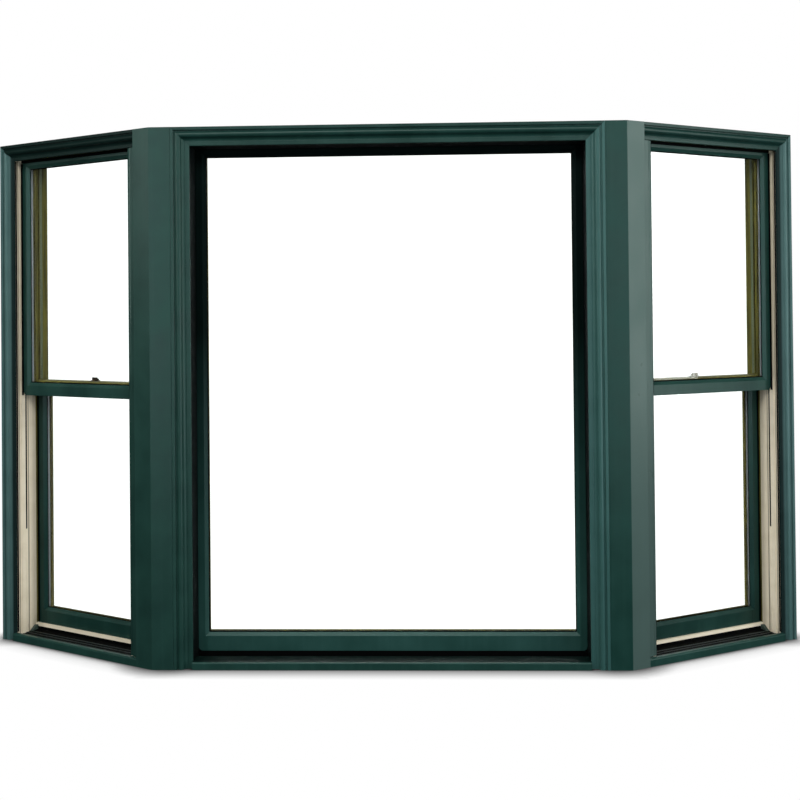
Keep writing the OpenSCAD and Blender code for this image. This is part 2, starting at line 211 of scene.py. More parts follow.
@dataclass(frozen=True)
class BakedEnamel:
    """Factory-baked enamel on roll-formed aluminium.

    The eye sees a satin skin with a faint orange peel, slow drifts of tone, and upright
    streaks that rain leaves. Formed edges are a little rounded and catch the light.
    """

    name: str = "baked_enamel_green"
    deep: str = "#17342e"
    full: str = "#1d4038"
    chalk: str = "#305049"
    roughness: float = 0.34
    shine: float = 0.38
    sheen: str = "#d2e9e2"   # the clear coat carries a little of the pigment
    # Painted light: the colour mixed in by position along shade_axis, dark for painted shade, light for a
    # painted reflection.
    shade: str = "#020505"
    shade_axis: str = "Z"
    shade_from: float = 0.0
    shade_to: float = 0.0
    shade_depth: float = 0.0
    dulled: float = 1.0      # how much of its lustre the shaded part loses
    drift_mm: float = 110.0
    streak_mm: float = 22.0
    streak_share: float = 0.22
    peel_mm: float = 3.0     # real peel is 1 to 2 mm, drawn coarser so that it shows
    peel_depth: float = 0.05
    edge_mm: float = 1.0

    def build(self, plan: Plan, side: Side) -> bpy.types.Material:
        """Builds the material in a unit's frame.

        Args:
            plan: where the units stand.
            side: the unit that wears it.

        Returns:
            The material.
        """
        material, tree = new_material(f"{self.name}_{side.value}")
        place = unit_millimetres(tree, plan, side)
        drift = add(tree, "ShaderNodeTexNoise", {"Vector": place, "Scale": 1 / self.drift_mm, "Detail": 4.0})
        tone = add(tree, "ShaderNodeValToRGB", {"Fac": drift.outputs["Fac"]})
        tone.color_ramp.elements[0].position = 0.3
        tone.color_ramp.elements[0].color = linear(self.deep)
        tone.color_ramp.elements[1].position = 0.72
        tone.color_ramp.elements[1].color = linear(self.full)
        tall = add(tree, "ShaderNodeMapping", {"Vector": place, "Scale": (1.0, 1.0, 0.02)})
        streak = add(tree, "ShaderNodeTexNoise", {
            "Vector": tall.outputs["Vector"], "Scale": 1 / self.streak_mm, "Detail": 3.0,
        })
        amount = add(tree, "ShaderNodeMapRange", {
            "Value": streak.outputs["Fac"], "From Min": 0.5, "From Max": 0.8,
            "To Max": self.streak_share,
        })
        colour = add(tree, "ShaderNodeMix", {
            0: amount.outputs["Result"], 6: tone.outputs["Color"], 7: linear(self.chalk),
        }, data_type="RGBA")
        lustre: float | bpy.types.NodeSocket = self.shine
        # Painted light by position along one axis: painted shade with a dark colour, a painted reflection
        # with a light one; the painted shade also takes lustre away.
        if self.shade_depth:
            parts = add(tree, "ShaderNodeSeparateXYZ", {"Vector": place})
            mirror = -1.0 if side is Side.LEFT and self.shade_axis == "X" else 1.0
            along = add(tree, "ShaderNodeMath", {
                0: parts.outputs[self.shade_axis], 1: mirror,
            }, operation="MULTIPLY")
            painted_share = add(tree, "ShaderNodeMapRange", {
                "Value": along.outputs[0], "From Min": self.shade_from, "From Max": self.shade_to,
                "To Max": self.shade_depth,
            })
            colour = add(tree, "ShaderNodeMix", {
                0: painted_share.outputs["Result"], 6: colour.outputs[2], 7: linear(self.shade),
            }, data_type="RGBA")
            if self.dulled:
                lustre = add(tree, "ShaderNodeMath", {
                    0: painted_share.outputs["Result"], 1: -self.shine * self.dulled, 2: self.shine,
                }, operation="MULTIPLY_ADD").outputs[0]
        gloss = add(tree, "ShaderNodeMapRange", {
            "Value": drift.outputs["Fac"], "From Min": 0.3, "From Max": 0.7,
            "To Min": self.roughness - 0.05, "To Max": self.roughness + 0.07,
        })
        peel = add(tree, "ShaderNodeTexNoise", {"Vector": place, "Scale": 1 / self.peel_mm, "Detail": 1.0})
        rounded = add(tree, "ShaderNodeBevel", {"Radius": self.edge_mm * MM}, samples=4)
        bump = add(tree, "ShaderNodeBump", {
            "Height": peel.outputs["Fac"], "Strength": self.peel_depth, "Distance": MM,
            "Normal": rounded.outputs["Normal"],
        })
        shader = add(tree, "ShaderNodeBsdfPrincipled", {
            "Base Color": colour.outputs[2], "Roughness": gloss.outputs["Result"], "IOR": 1.5,
            "Specular IOR Level": lustre, "Specular Tint": linear(self.sheen),
            "Normal": bump.outputs["Normal"],
        })
        add(tree, "ShaderNodeOutputMaterial", {"Surface": shader.outputs["BSDF"]})
        return material


@dataclass(frozen=True)
class ExtrudedVinyl:
    """Extruded PVC of the sash tracks: an even, slightly waxy beige with fine draw lines, and painted shade
    deep in the track, on the upper track and along two grooves.
    """

    name: str = "extruded_vinyl_beige"
    body: str = "#f6ead0"
    aged: str = "#dccfb0"
    roughness: float = 0.46
    patch_mm: float = 45.0
    line_mm: float = 1.6     # real draw lines are finer, drawn coarser so that they show
    # painted shade: the colour of two dark lines along the grooves
    groove_shade: str = "#6a5f48"
    groove_at: tuple[float, ...] = (26.5, 59.0)
    groove_w: float = 2.6
    # painted shade deep in the track and, above dusk_at, on the upper track
    shade_from: float = 58.0
    shade_to: float = 80.0
    shaded: str = "#948a73"
    dusk_at: float = 700.0   # the upper track lies deeper in shadow
    dusk_run: float = 60.0

    def build(self, plan: Plan, side: Side) -> bpy.types.Material:
        """Builds the material in a unit's frame.

        Args:
            plan: where the units stand.
            side: the unit that wears it.

        Returns:
            The material.
        """
        material, tree = new_material(f"{self.name}_{side.value}")
        place = unit_millimetres(tree, plan, side)
        patch = add(tree, "ShaderNodeTexNoise", {"Vector": place, "Scale": 1 / self.patch_mm, "Detail": 5.0})
        dust = add(tree, "ShaderNodeMapRange", {
            "Value": patch.outputs["Fac"], "From Min": 0.45, "From Max": 0.8, "To Max": 0.6,
        })
        colour = add(tree, "ShaderNodeMix", {
            0: dust.outputs["Result"], 6: linear(self.body), 7: linear(self.aged),
        }, data_type="RGBA")
        parts = add(tree, "ShaderNodeSeparateXYZ", {"Vector": place})
        depth = parts.outputs["Y"]
        # Painted shade: darker above the meeting rail, deep in the track and along two grooves.
        darker = [(parts.outputs["Z"], self.dusk_at, self.dusk_at + self.dusk_run, 0.62, self.shaded),
                  (depth, self.shade_from, self.shade_to, 0.6, self.shaded)]
        for at in self.groove_at:
            away = add(tree, "ShaderNodeMath", {0: depth, 1: at}, operation="SUBTRACT")
            gap = add(tree, "ShaderNodeMath", {0: away.outputs[0]}, operation="ABSOLUTE")
            darker.append((gap.outputs[0], self.groove_w, self.groove_w * 0.4, 0.75, self.groove_shade))
        for value, start, end, most, tint in darker:
            share = add(tree, "ShaderNodeMapRange", {
                "Value": value, "From Min": start, "From Max": end, "To Max": most,
            })
            colour = add(tree, "ShaderNodeMix", {
                0: share.outputs["Result"], 6: colour.outputs[2], 7: linear(tint),
            }, data_type="RGBA")
        drawn = add(tree, "ShaderNodeMapping", {"Vector": place, "Scale": (1.0, 1.0, 0.01)})
        lines = add(tree, "ShaderNodeTexNoise", {
            "Vector": drawn.outputs["Vector"], "Scale": 1 / self.line_mm, "Detail": 2.0,
        })
        bump = add(tree, "ShaderNodeBump", {
            "Height": lines.outputs["Fac"], "Strength": 0.12, "Distance": 0.3 * MM,
        })
        shader = add(tree, "ShaderNodeBsdfPrincipled", {
            "Base Color": colour.outputs[2], "Roughness": self.roughness, "IOR": 1.53,
            "Normal": bump.outputs["Normal"],
        })
        add(tree, "ShaderNodeOutputMaterial", {"Surface": shader.outputs["BSDF"]})
        return material


@dataclass(frozen=True)
class ShadedPine:
    """Planed pine under a clear sealer, painted a dark olive: painted shade, with the green of the glass in
    front of it.

    The eye sees long bands of early and late wood with fine dark pores, running upright in
    stiles and jambs and level in rails and heads.
    """

    name: str = "stained_pine"
    early: str = "#5c5722"
    late: str = "#3a3712"
    pore: str = "#1e1c0a"
    roughness: float = 0.45
    shine: float = 0.3
    ring_mm: float = 7.0
    stretch: float = 0.035
    pore_mm: float = 1.1

    def figure(self, tree: bpy.types.NodeTree, place: bpy.types.NodeSocket, scale: Triple) -> bpy.types.Node:
        """Draws the wood's figure along one direction.

        Args:
            tree: the material's tree.
            place: the unit's millimetres.
            scale: how much each direction is drawn out, least along the grain.

        Returns:
            A Mix node whose colour output is the wood.
        """
        board = add(tree, "ShaderNodeMapping", {"Vector": place, "Scale": scale})
        rings = add(tree, "ShaderNodeTexNoise", {
            "Vector": board.outputs["Vector"], "Scale": 1 / self.ring_mm, "Detail": 3.0, "Distortion": 0.6,
        })
        bands = add(tree, "ShaderNodeValToRGB", {"Fac": rings.outputs["Fac"]})
        bands.color_ramp.elements[0].position = 0.36
        bands.color_ramp.elements[0].color = linear(self.late)
        bands.color_ramp.elements[1].position = 0.6
        bands.color_ramp.elements[1].color = linear(self.early)
        pores = add(tree, "ShaderNodeTexNoise", {
            "Vector": board.outputs["Vector"], "Scale": 1 / self.pore_mm, "Detail": 2.0,
        })
        share = add(tree, "ShaderNodeMapRange", {
            "Value": pores.outputs["Fac"], "From Min": 0.58, "From Max": 0.75, "To Max": 0.55,
        })
        return add(tree, "ShaderNodeMix", {
            0: share.outputs["Result"], 6: bands.outputs["Color"], 7: linear(self.pore),
        }, data_type="RGBA")

    def build(self, plan: Plan, side: Side, grain: Grain, middle: float = 0.0,
              half: float = 0.0) -> bpy.types.Material:
        """Builds the material in a unit's frame.

        Args:
            plan: where the units stand.
            side: the unit that wears it.
            grain: how the boards run.
            middle: e of the frame's middle, for framed boards.
            half: distance from the middle to where the stiles begin.

        Returns:
            The material.
        """
        material, tree = new_material(f"{self.name}_{grain.value}_{side.value}_{round(half)}")
        place = unit_millimetres(tree, plan, side)
        upright, level = (1.0, 1.0, self.stretch), (self.stretch, 1.0, 1.0)
        if grain is Grain.FRAMED:
            sign = -1.0 if side is Side.LEFT else 1.0
            parts = add(tree, "ShaderNodeSeparateXYZ", {"Vector": place})
            along = add(tree, "ShaderNodeMath", {
                0: parts.outputs["X"], 1: sign * middle,
            }, operation="SUBTRACT")
            away = add(tree, "ShaderNodeMath", {0: along.outputs[0]}, operation="ABSOLUTE")
            stile = add(tree, "ShaderNodeMath", {0: away.outputs[0], 1: half}, operation="GREATER_THAN")
            wood = add(tree, "ShaderNodeMix", {
                0: stile.outputs[0], 6: self.figure(tree, place, level).outputs[2],
                7: self.figure(tree, place, upright).outputs[2],
            }, data_type="RGBA")
        else:
            wood = self.figure(tree, place, upright if grain is Grain.UPRIGHT else level)
        bump = add(tree, "ShaderNodeBump", {
            "Height": wood.outputs[2], "Strength": 0.15, "Distance": 0.4 * MM,
        })
        shader = add(tree, "ShaderNodeBsdfPrincipled", {
            "Base Color": wood.outputs[2], "Roughness": self.roughness, "IOR": 1.48,
            "Specular IOR Level": self.shine, "Normal": bump.outputs["Normal"],
        })
        add(tree, "ShaderNodeOutputMaterial", {"Surface": shader.outputs["BSDF"]})
        return material


@dataclass(frozen=True)
class FloatGlass:
    """Coated float glass: clear, with sharp reflections that its coating makes very weak."""

    name: str = "float_glass"
    body: str = "#fdfffe"
    coating: str = "#4a4f4d"     # darkens the mirror image

    def build(self) -> bpy.types.Material:
        """Builds the material."""
        material, tree = new_material(self.name)
        shader = add(tree, "ShaderNodeBsdfPrincipled", {
            "Base Color": linear(self.body), "Roughness": 0.0, "IOR": 1.52, "Transmission Weight": 1.0,
            "Specular Tint": linear(self.coating),
        })
        clear = add(tree, "ShaderNodeBsdfTransparent")
        path = add(tree, "ShaderNodeLightPath")
        mixed = add(tree, "ShaderNodeMixShader", {
            0: path.outputs["Is Shadow Ray"], 1: shader.outputs["BSDF"], 2: clear.outputs["BSDF"],
        })
        add(tree, "ShaderNodeOutputMaterial", {"Surface": mixed.outputs["Shader"]})
        return material


@dataclass(frozen=True)
class SmallMetal:
    """Metal or rubber of the small fittings, with the handling marks that its use leaves."""

    name: str
    base: str
    marks: str
    metallic: float
    roughness: float
    shine: float = 0.5
    mark_mm: float = 2.5

    def build(self) -> bpy.types.Material:
        """Builds the material."""
        material, tree = new_material(self.name)
        coordinates = add(tree, "ShaderNodeTexCoord")
        noise = add(tree, "ShaderNodeTexNoise", {
            "Vector": coordinates.outputs["Object"], "Scale": 1 / (self.mark_mm * MM), "Detail": 4.0,
        })
        share = add(tree, "ShaderNodeMapRange", {
            "Value": noise.outputs["Fac"], "From Min": 0.45, "From Max": 0.75,
        })
        colour = add(tree, "ShaderNodeMix", {
            0: share.outputs["Result"], 6: linear(self.base), 7: linear(self.marks),
        }, data_type="RGBA")
        gloss = add(tree, "ShaderNodeMapRange", {
            "Value": noise.outputs["Fac"], "To Min": self.roughness - 0.08, "To Max": self.roughness + 0.12,
        })
        bump = add(tree, "ShaderNodeBump", {
            "Height": noise.outputs["Fac"], "Strength": 0.1, "Distance": 0.2 * MM,
        })
        shader = add(tree, "ShaderNodeBsdfPrincipled", {
            "Base Color": colour.outputs[2], "Metallic": self.metallic, "Specular IOR Level": self.shine,
            "Roughness": gloss.outputs["Result"], "Normal": bump.outputs["Normal"],
        })
        add(tree, "ShaderNodeOutputMaterial", {"Surface": shader.outputs["BSDF"]})
        return material


GREEN_ENAMEL = BakedEnamel()

# The side casings' jambs: a lighter, bluer copy of the green enamel as painted light, with painted shade on
# the edge that turns in to the sash tracks.
JAMB_LIT_SHADED_ENAMEL = BakedEnamel("baked_enamel_jamb", "#3d5b58", "#486764", "#5b7775", 0.32, shade_axis="X",
                          shade_from=568.0, shade_to=563.0, shade_depth=0.85)

# A darker copy of the green enamel: painted shade on parts that face away from the light.
DARK_SHADE_ENAMEL = BakedEnamel("baked_enamel_deep", "#112d27", "#163731", "#28463f", shine=0.33)

# The right corner cover: a darker copy of the green enamel, painted shade, with a lighter painted reflection
# on its far half; the right track cover wears it too.
CORNER_REFLECTION_ENAMEL = BakedEnamel("baked_enamel_turned", "#12322b", "#183c35", "#2a4a43", 0.32, shine=0.3,
                            shade="#5f716b", shade_axis="X", shade_from=-1.0, shade_to=1.0, shade_depth=0.5,
                            dulled=0.0)

# The fixed sash: painted shade, darker towards the top, where the head casing keeps the light off.
RECESS_SHADE_ENAMEL = BakedEnamel("baked_enamel_recess", "#1b3c36", "#234741", "#33554f", 0.38, shade_from=150.0,
                            shade_to=900.0, shade_depth=0.93)

# The centre sill: painted shade on its ramp and trough, deeper than the front of the nosing.
SILL_SHADE_ENAMEL = BakedEnamel("baked_enamel_sill", shade_axis="Y", shade_from=2.5, shade_to=7.0, shade_depth=0.9)

# The centre casing's right leg: a lighter copy of the green enamel, painted reflection.
LEG_REFLECTION_ENAMEL = BakedEnamel("baked_enamel_lit", "#2c4f4a", "#345954", "#446763", 0.32)

# The reveals' stops: the same paint made almost black, painted shade of the deep recess.
REVEAL_SHADE_ENAMEL = BakedEnamel("baked_enamel_reveal", "#020404", "#040808", "#081010", 0.6, shine=0.12,
                            peel_depth=0.02)

# The left window's head casing: a near-black copy of the green enamel, painted shade.
HEAD_SHADE_ENAMEL = BakedEnamel("baked_enamel_head", "#081916", "#0c211d", "#152c27", 0.42, shine=0.16)

TRACK_VINYL = ExtrudedVinyl()
STRIP_VINYL = ExtrudedVinyl("extruded_vinyl_strip", "#f2e6cb", "#dccfb1", groove_at=(), shaded="#f2e6cb")
PINE = ShadedPine()
GLASS = FloatGlass()

# Oil-rubbed bronze: nearly black, brown where hands have rubbed it.
BRONZE = SmallMetal("oiled_bronze", "#1c150f", "#453524", 0.8, 0.38)

# Zinc die casting under a thin beige coat, duller than bare metal.
CAST_ZINC = SmallMetal("cast_zinc_beige", "#6b665a", "#8a8474", 0.4, 0.45)

# Roll-formed mill aluminium: an even pale grey with a blurred mirror image.
SPACER = SmallMetal("mill_aluminium", "#868c90", "#a0a5a8", 1.0, 0.5)

# Sealant and pile, and the black strips and sheets of painted shade: black with almost no lustre.
BLACK_SEAL_AND_SHADE = SmallMetal("black_sealant", "#010202", "#030404", 0.0, 0.7, 0.05)

# Moulded rubber ribs: dark green-black, with a soft line of light on each rib.
RIB_RUBBER = SmallMetal("rib_rubber", "#101c1a", "#1d2b28", 0.0, 0.4, 0.4)

# Bright zinc plating on screw heads.
ZINC = SmallMetal("zinc_plate", "#8d8a80", "#b5b1a4", 1.0, 0.3)

# Moulded end blocks: matt grey-green plastic.
BLOCK = SmallMetal("moulded_block", "#2c3b34", "#47564b", 0.0, 0.5)

# The balance strips' plastic: matt grey-olive.
BALANCE = SmallMetal("balance_strip", "#4f5741", "#5d664c", 0.0, 0.5)

Finish = BakedEnamel | ExtrudedVinyl | ShadedPine | FloatGlass | SmallMetal


@dataclass
class Finishes:
    """The bay's finishes, each built when it is first worn.

    Args:
        plan: where the units stand.
    """

    plan: Plan
    built: dict[tuple, bpy.types.Material] = field(default_factory=dict)

    def wear(self, finish: Finish, *place: Any) -> bpy.types.Material:
        """Gives a finish's material.

        Args:
            finish: the finish.
            place: the unit that wears it and, for wood, how its boards run; nothing for small fittings.

        Returns:
            The material.
        """
        key = (finish, *place)
        if key not in self.built:
            self.built[key] = finish.build(self.plan, *place) if place else finish.build()
        return self.built[key]


# ---- making pieces -------------------------------------------------------


@dataclass
class Mould:
    """Collects closed shapes in a unit's millimetres and makes one piece of them."""

    plan: Plan
    side: Side
    shapes: list[tuple[list[Triple], list[list[int]]]] = field(default_factory=list)

    def prism(self, outline: Sequence[Point], axis: Axis, start: float, end: float) -> None:
        """Draws an outline out along an axis.

        Args:
            outline: (d, z) points along e, (e, z) points into the depth, (e, d) points upwards.
            axis: the direction.
            start: where the shape begins.
            end: where the shape ends.
        """
        order = {
            Axis.ALONG: lambda a, b, t: (t, a, b),
            Axis.DEPTH: lambda a, b, t: (a, t, b),
            Axis.UP: lambda a, b, t: (a, b, t),
        }[axis]
        n = len(outline)
        points = [order(a, b, t) for t in (start, end) for a, b in outline]
        faces = [list(range(n)), list(range(n, 2 * n))]
        faces += [[i, (i + 1) % n, n + (i + 1) % n, n + i] for i in range(n)]
        self.shapes.append((points, faces))

    def box(self, e: Point, d: Point, z: Point) -> None:
        """Adds a box between the given ends."""
        self.prism([(e[0], d[0]), (e[1], d[0]), (e[1], d[1]), (e[0], d[1])], Axis.UP, *z)

    def ring(self, e: Point, z: Point, section: Sequence[Point]) -> None:
        """Adds a mitred ring of four bars round an opening.

        Args:
            e: the opening's ends along the unit.
            z: the opening's foot and head.
            section: (out, d) points, out being the distance outwards from the opening.
        """
        corners = [(e[0], z[0], -1, -1), (e[1], z[0], 1, -1), (e[1], z[1], 1, 1), (e[0], z[1], -1, 1)]
        n = len(section)
        points = [(x + sx * out, d, h + sz * out) for x, h, sx, sz in corners for out, d in section]
        faces = [
            [k * n + i, k * n + (i + 1) % n, ((k + 1) % 4) * n + (i + 1) % n, ((k + 1) % 4) * n + i]
            for k in range(4) for i in range(n)
        ]
        self.shapes.append((points, faces))

    def build(self, name: str, material: bpy.types.Material, slot: str, rounded: float = 0.0,
              steps: int = 2) -> bpy.types.Object:
        """Makes the piece, with its edges rounded, and lets it ride on the bay.

        Args:
            name: the piece's name.
            material: its finish.
            slot: the record's slot of that finish; not used.
            rounded: radius of its edges.
            steps: faces across a rounded edge.

        Returns:
            The finished piece.
        """
        shape = bmesh.new()
        for points, faces in self.shapes:
            made = [shape.verts.new(p) for p in points]
            for face in faces:
                shape.faces.new([made[i] for i in face])
        bmesh.ops.recalc_face_normals(shape, faces=shape.faces)
        if rounded:
            sharp = [edge for edge in shape.edges if edge.calc_face_angle(0) > math.radians(25)]
            bmesh.ops.bevel(shape, geom=sharp, offset=rounded, segments=steps, profile=0.5, affect="EDGES")
        return settle(shape, self.plan, self.side, name, material)


def settle(shape: bmesh.types.BMesh, plan: Plan, side: Side, name: str, material: bpy.types.Material) -> bpy.types.Object:
    """Moves a shape from a unit's millimetres to its place and makes it a piece.

    Args:
        shape: the shape, which is used up.
        plan: where the units stand.
        side: its unit.
        name: the piece's name.
        material: its finish.

    Returns:
        The piece, riding on the bay.
    """
    for vertex in shape.verts:
        vertex.co = plan.place(side, *vertex.co)
    bmesh.ops.recalc_face_normals(shape, faces=shape.faces)
    mesh = bpy.data.meshes.new(name)
    shape.to_mesh(mesh)
    shape.free()
    mesh.materials.clear()
    mesh.materials.append(material)
    mesh.polygons.foreach_set("material_index", [0] * len(mesh.polygons))
    mesh.polygons.foreach_set("use_smooth", [True] * len(mesh.polygons))
    mesh.set_sharp_from_angle(angle=math.radians(35))
    piece = bpy.data.objects.new(name, mesh)
    bpy.context.scene.collection.objects.link(piece)
    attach(piece, BODY)
    log.info("%s: %d faces", name, len(mesh.polygons))
    return piece


@dataclass
class Repeater:
    """Geometry Nodes trees for what repeats in a straight row."""

    plan: Plan
    rods: bpy.types.NodeTree = field(init=False)
    studs: bpy.types.NodeTree = field(init=False)

    def __post_init__(self) -> None:
        """Makes both trees."""
        self.rods = self.rib_tree()
        self.studs = self.head_tree()

    def tree(self, name: str, sizes: Sequence[tuple[str, str]]) -> tuple[bpy.types.NodeTree, bpy.types.Node]:
        """Starts a tree with its named inputs.

        Args:
            name: the tree's name.
            sizes: the name and the socket type of each input.

        Returns:
            The tree and its input node.
        """
        tree = bpy.data.node_groups.new(name, "GeometryNodeTree")
        for size, kind in sizes:
            tree.interface.new_socket(size, in_out="INPUT", socket_type=kind)
        tree.interface.new_socket("Geometry", in_out="OUTPUT", socket_type="NodeSocketGeometry")
        return tree, add(tree, "NodeGroupInput")

    def close(self, tree: bpy.types.NodeTree, source: bpy.types.Node, instance: bpy.types.NodeSocket) -> None:
        """Repeats an instance along the row and ends the tree.

        Args:
            tree: the tree.
            source: its input node, with Count, Start, Step and Finish.
            instance: what is repeated.
        """
        row = add(tree, "GeometryNodeMeshLine", {
            "Count": source.outputs["Count"], "Start Location": source.outputs["Start"],
            "Offset": source.outputs["Step"],
        })
        spread = add(tree, "GeometryNodeInstanceOnPoints", {
            "Points": row.outputs["Mesh"], "Instance": instance,
        })
        real = add(tree, "GeometryNodeRealizeInstances", {"Geometry": spread.outputs["Instances"]})
        finish = add(tree, "GeometryNodeSetMaterial", {
            "Geometry": real.outputs["Geometry"], "Material": source.outputs["Finish"],
        })
        add(tree, "NodeGroupOutput", {"Geometry": finish.outputs["Geometry"]})

    def rib_tree(self) -> bpy.types.NodeTree:
        """Makes the tree of parallel round ribs."""
        tree, source = self.tree("parallel_ribs", [
            ("Count", "NodeSocketInt"), ("Start", "NodeSocketVector"), ("Step", "NodeSocketVector"),
            ("Run", "NodeSocketVector"), ("Radius", "NodeSocketFloat"), ("Finish", "NodeSocketMaterial"),
        ])
        line = add(tree, "GeometryNodeCurvePrimitiveLine", {"End": source.outputs["Run"]})
        circle = add(tree, "GeometryNodeCurvePrimitiveCircle", {
            "Resolution": 10, "Radius": source.outputs["Radius"],
        })
        rib = add(tree, "GeometryNodeCurveToMesh", {
            "Curve": line.outputs["Curve"], "Profile Curve": circle.outputs["Curve"], "Fill Caps": True,
        })
        self.close(tree, source, rib.outputs["Mesh"])
        return tree

    def head_tree(self) -> bpy.types.NodeTree:
        """Makes the tree of small domed heads in a row."""
        tree, source = self.tree("row_of_heads", [
            ("Count", "NodeSocketInt"), ("Start", "NodeSocketVector"), ("Step", "NodeSocketVector"),
            ("Turn", "NodeSocketRotation"), ("Radius", "NodeSocketFloat"), ("Finish", "NodeSocketMaterial"),
        ])
        head = add(tree, "GeometryNodeMeshUVSphere", {
            "Segments": 12, "Rings": 6, "Radius": source.outputs["Radius"],
        })
        flat = add(tree, "GeometryNodeTransform", {
            "Geometry": head.outputs["Mesh"], "Scale": (1.0, 1.0, 0.4), "Rotation": source.outputs["Turn"],
        })
        self.close(tree, source, flat.outputs["Geometry"])
        return tree

    def grow(self, tree: bpy.types.NodeTree, values: dict[str, Any], side: Side, name: str,
             material: bpy.types.Material, slot: str) -> bpy.types.Object:
        """Evaluates a tree once and makes its result a plain piece.

        Args:
            tree: the Geometry Nodes tree.
            values: a value for each named input but Finish.
            side: the unit in whose millimetres the values are.
            name: the piece's name.
            material: its finish.
            slot: the record's slot of that finish; not used.

        Returns:
            The piece.
        """
        seed = bpy.data.objects.new(name + ".seed", bpy.data.meshes.new(name + ".seed"))
        bpy.context.scene.collection.objects.link(seed)
        modifier = seed.modifiers.new("rows", "NODES")
        modifier.node_group = tree
        for socket in tree.interface.items_tree:
            if socket.in_out == "INPUT":
                value = material if socket.name == "Finish" else values[socket.name]
                modifier[socket.identifier] = value
        seed.update_tag()
        graph = bpy.context.evaluated_depsgraph_get()
        mesh = bpy.data.meshes.new_from_object(seed.evaluated_get(graph))
        seed.modifiers.remove(modifier)
        bpy.data.objects.remove(seed)
        shape = bmesh.new()
        shape.from_mesh(mesh)
        bpy.data.meshes.remove(mesh)
        return settle(shape, self.plan, side, name, material)


# ---- sub-assemblies ------------------------------------------------------


@dataclass
class Assembly:
    """What every sub-assembly works with.

    Args:
        plan: where the units stand.
        finishes: the bay's finishes.
        rows: the trees of what repeats.
        side: its unit.
    """

    plan: Plan
    finishes: Finishes
    rows: Repeater
    side: Side

    @property
    def name(self) -> str:
        """The unit's name."""
        return self.side.value

    def mould(self) -> Mould:
        """Starts an empty mould in the unit's frame."""
        return Mould(self.plan, self.side)

    def dress(self, node: str, finish: Finish, *place: Any) -> None:
        """Gives one of the unit's CAD nodes its finish.

        Args:
            node: the node's name without the unit's.
            finish: its finish.
            place: the unit and, for wood, how its boards run; nothing for glass.
        """
        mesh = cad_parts[f"{self.name}_{node}"].data
        mesh.materials.clear()
        mesh.materials.append(self.finishes.wear(finish, *place))


@dataclass(frozen=True)
class Light:
    """A sash's daylight opening, in its unit.

    Args:
        name: the sash's name.
        e: its ends along the unit.
        z: its foot and head.
        d: depth of the sash's front face.
    """

    name: str
    e: Point
    z: Point
    d: float
    clad: float = 9.0
    pane: float = 3.0
    glazing: float = 16.0

    @property
    def middle(self) -> float:
        """e of the opening's middle."""
        return (self.e[0] + self.e[1]) / 2

    @property
    def half(self) -> float:
        """Half the opening's width."""
        return (self.e[1] - self.e[0]) / 2


@dataclass(frozen=True)
class Strip:
    """An upright strip on both sides of a window.

    Args:
        out: how far its face stands out of the liner, towards the window's middle.
        back: how far its back does; below nothing it is inside the liner.
        d: its front and its back.
        z: its foot and its head.
    """

    out: float
    back: float
    d: Point
    z: Point


@dataclass(frozen=True)
class Rib:
    """A raised rib of a vinyl liner, or two side by side."""

    name: str
    d: float
    radius: float
    head: float
    count: int = 1


@dataclass
class Glazing(Assembly):
    """The sealed edge of a double-glazed light: spacer bar, its holes, and the sealant beads."""

    light: Light
    spacer: Point = (2.6, 7.2)   # how far outside the opening it begins and ends
    fold: Point = (0.7, 0.6)     # its folded edge, outwards and in depth
    clear: float = 0.05
    bead: float = 2.2
    hole: float = 0.7
    hole_pitch: float = 12.0

    def build(self) -> None:
        """Builds every piece of the glazed edge."""
        light = self.light
        name = f"{self.name}_{light.name}"
        front = light.d + light.clad
        back = front + light.glazing
        gap = (front + light.pane + self.clear, back - light.pane - self.clear)
        (near, far), (wide, deep) = self.spacer, self.fold
        bar = self.mould()
        bar.ring(light.e, light.z, [(near, gap[0] + deep), (near, gap[1] - deep), (near + wide, gap[1]),
                                    (far, gap[1]), (far, gap[0]), (near + wide, gap[0])])
        bar.build(f"{name}_spacer", self.finishes.wear(SPACER), "spacer_aluminium")
        black = self.finishes.wear(BLACK_SEAL_AND_SHADE)
        self.rows.grow(self.rows.studs, {
            "Count": int((light.e[1] - light.e[0]) / self.hole_pitch),
            "Start": (light.e[0] + self.hole_pitch / 2, (gap[0] + gap[1]) / 2, light.z[0] - near),
            "Step": (self.hole_pitch, 0, 0), "Turn": (0, 0, 0), "Radius": self.hole,
        }, self.side, f"{name}_spacer_holes", black, "black_gasket")
        beads = self.mould()
        beads.ring(light.e, light.z, [(0.0, front), (0.0, front - 0.4), (-self.bead * 0.4, front - 0.7),
                                      (-self.bead, front)])
        beads.ring(light.e, light.z, [(1.5, back), (1.5, back + 1.5), (0.5, back + 1.2), (-0.5, back)])
        beads.build(f"{name}_sealant", black, "black_gasket")


